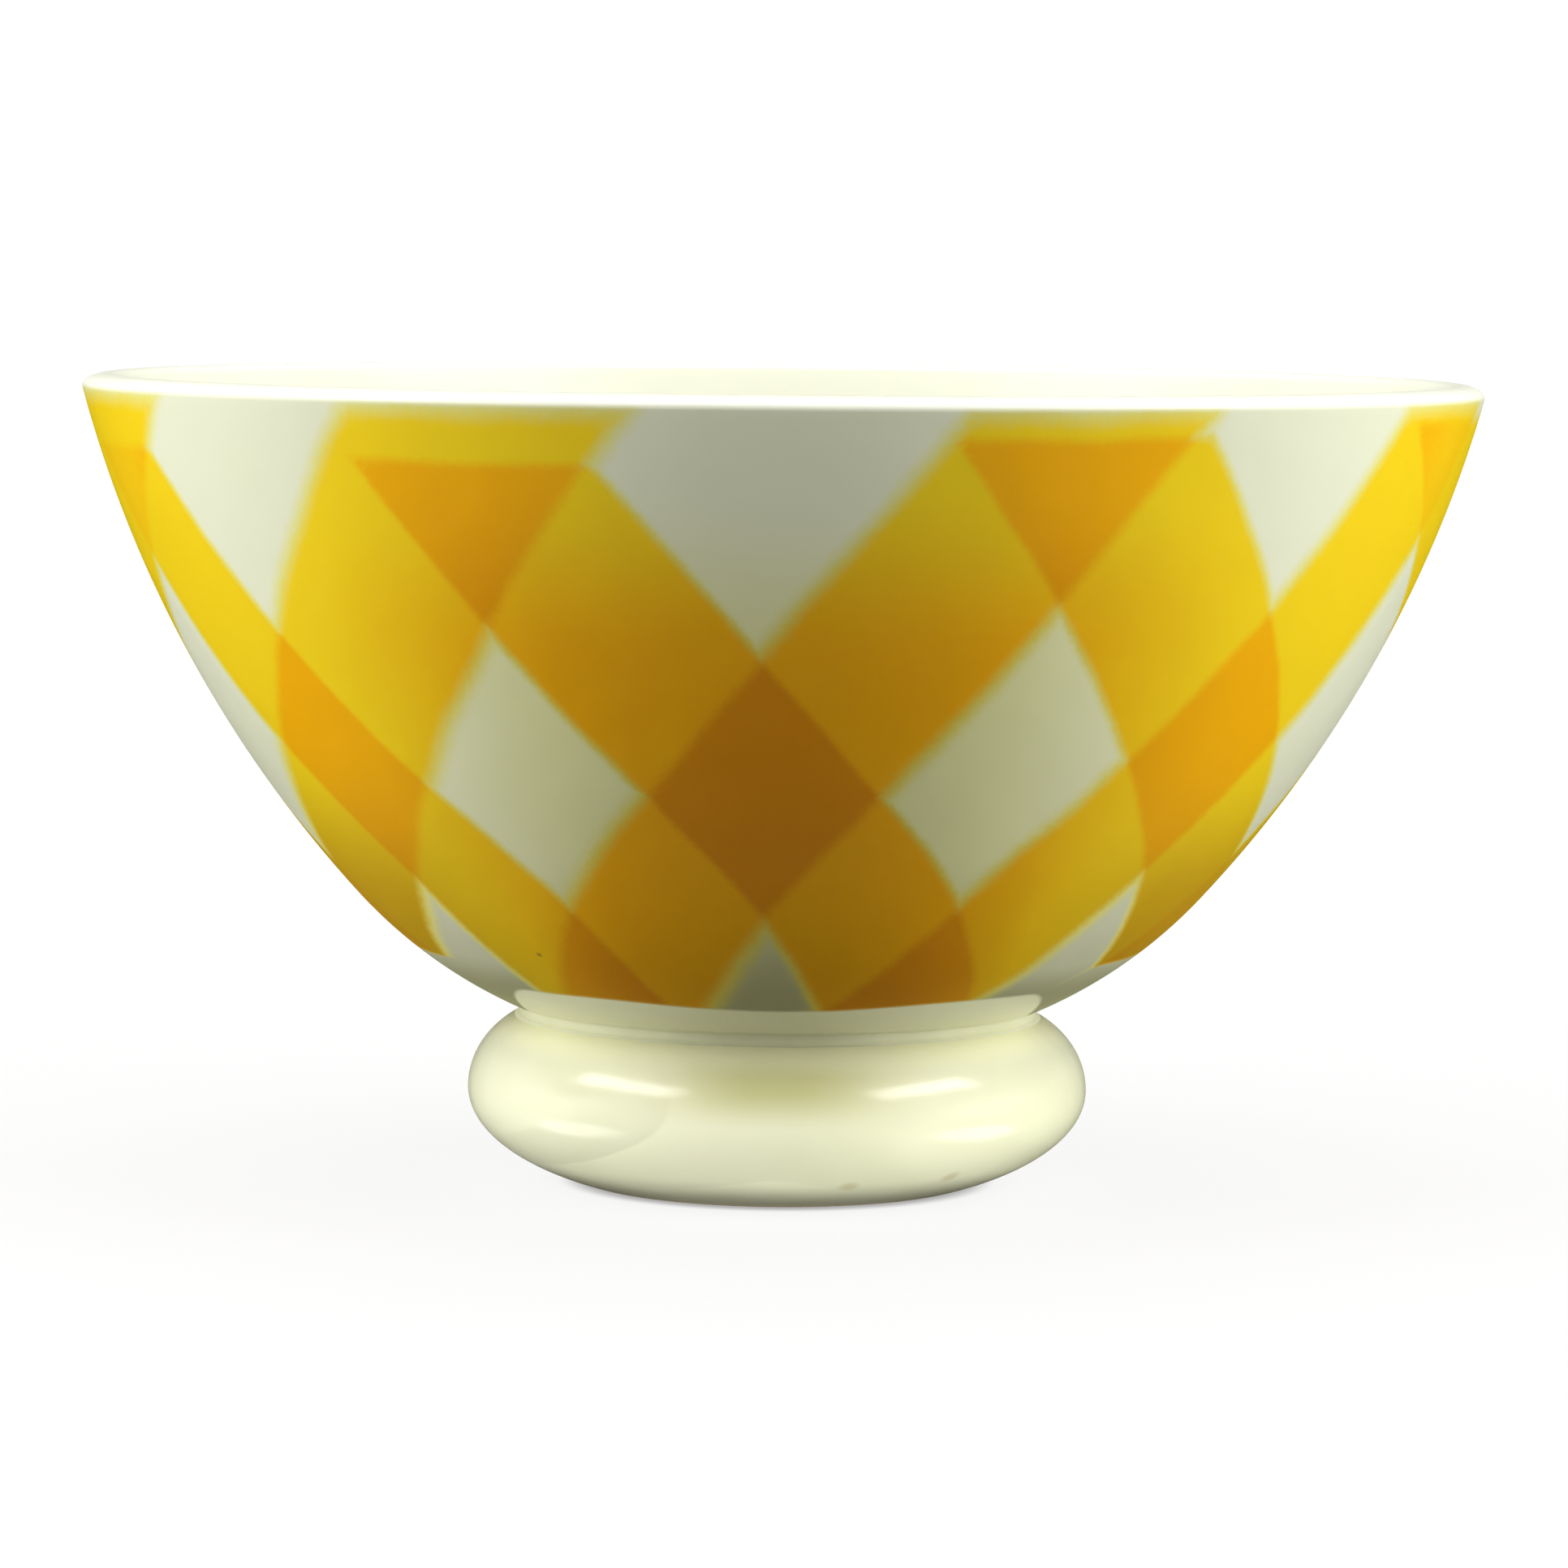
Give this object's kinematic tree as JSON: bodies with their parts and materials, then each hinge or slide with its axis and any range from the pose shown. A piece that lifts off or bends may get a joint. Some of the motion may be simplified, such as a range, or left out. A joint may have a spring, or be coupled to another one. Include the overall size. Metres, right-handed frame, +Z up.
{
  "type": "footed bowl",
  "caption": "Round footed earthenware bowl with a flaring wall, a rounded lip and a hollow bead-shaped foot ring, airbrushed with a diagonal check, for coffee, soup or cereal.",
  "frame": {"origin": "bottom centre of the foot ring, on the surface the bowl stands on", "axes": "+Z up along the axis the bowl was turned on and out of its open mouth, +X to the right as seen in the picture, +Y away from its viewer"},
  "size_m": [0.15, 0.15, 0.087],
  "materials": {
    "painted_glaze": "gloss",
    "glazed_slip": "satin",
    "ivory_glaze": "gloss"
  },
  "bodies": {
    "root": {"cup": "painted_glaze", "slip_joint": "glazed_slip", "foot_ring": "ivory_glaze"}
  },
  "joints": []
}
